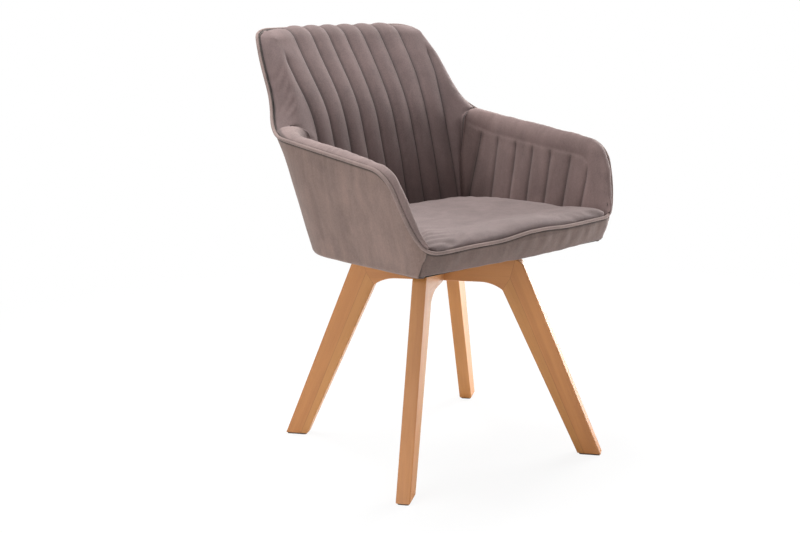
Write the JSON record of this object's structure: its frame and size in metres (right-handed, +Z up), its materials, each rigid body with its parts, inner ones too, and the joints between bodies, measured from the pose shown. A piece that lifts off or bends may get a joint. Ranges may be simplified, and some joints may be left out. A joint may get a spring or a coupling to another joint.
{
  "type": "swivel dining chair",
  "caption": "Upholstered bucket armchair with channel-sewn back and arms that turns freely on a splayed four-leg beech base.",
  "frame": {"origin": "on the floor, on the swivel axis, with the chair standing on its four feet", "axes": "+Z up along the swivel axis, the front of the seat faces -Y, +X to the right in plan; the legs stand 9.6 degrees clockwise of the seat's diagonals, as in the picture"},
  "size_m": [0.592, 0.621, 0.8555],
  "materials": {
    "fabric": "matte brushed microfibre, taupe",
    "welt_fabric": "matte microfibre rolled over a cord",
    "plywood": "raw plywood",
    "dust_cloth": "black nonwoven cloth",
    "beech": "clear satin lacquer over beech",
    "beech_light": "clear satin lacquer over lighter beech",
    "dowel_wood": "raw beech",
    "glide_plastic": "matte dark plastic",
    "plate_steel": "black powder coat",
    "bearing_steel": "ground steel",
    "fastener_steel": "zinc plated",
    "cage_plastic": "natural nylon"
  },
  "bodies": {
    "base": {"cross_rail_lower": "beech", "cross_rail_upper": "beech", "foot_glides": "glide_plastic", "king_pin": "fastener_steel", "leg_back_left_inner_stave": "beech_light", "leg_back_left_outer_stave": "beech", "leg_back_right_inner_stave": "beech_light", "leg_back_right_outer_stave": "beech", "leg_dowels": "dowel_wood", "leg_front_left_inner_stave": "beech_light", "leg_front_left_outer_stave": "beech", "leg_front_right_inner_stave": "beech_light", "leg_front_right_outer_stave": "beech", "lower_plate": "plate_steel", "lower_plate_screws": "fastener_steel", "lower_race": "bearing_steel"},
    "ball_cage_body": {"ball_cage": "cage_plastic", "bearing_balls": "bearing_steel"},
    "seat": {"bucket_former": "plywood", "outer_cover": "fabric", "arm_pad_right": "fabric", "arm_pad_left": "fabric", "back_pad": "fabric", "front_border": "fabric", "seat_cushion": "fabric", "rim_welt": "welt_fabric", "front_welt": "welt_fabric", "seat_board": "plywood", "former_screws": "fastener_steel", "tee_nuts": "fastener_steel", "dust_cover": "dust_cloth", "upper_plate": "plate_steel", "upper_plate_bolts": "fastener_steel", "upper_race": "bearing_steel", "pin_washer": "cage_plastic"}
  },
  "joints": [
    {"name": "seat_swivel", "type": "hinge", "parent": "base", "child": "seat", "pos_m": [0, 0, 0.4155], "axis": [0, 0, 1], "continuous": true},
    {"name": "cage_turn", "type": "hinge", "parent": "base", "child": "ball_cage_body", "pos_m": [0, 0, 0.4155], "axis": [0, 0, 1], "continuous": true}
  ],
  "couplings": [
    {"joint": "cage_turn", "follows": "seat_swivel", "ratio": 0.5}
  ]
}
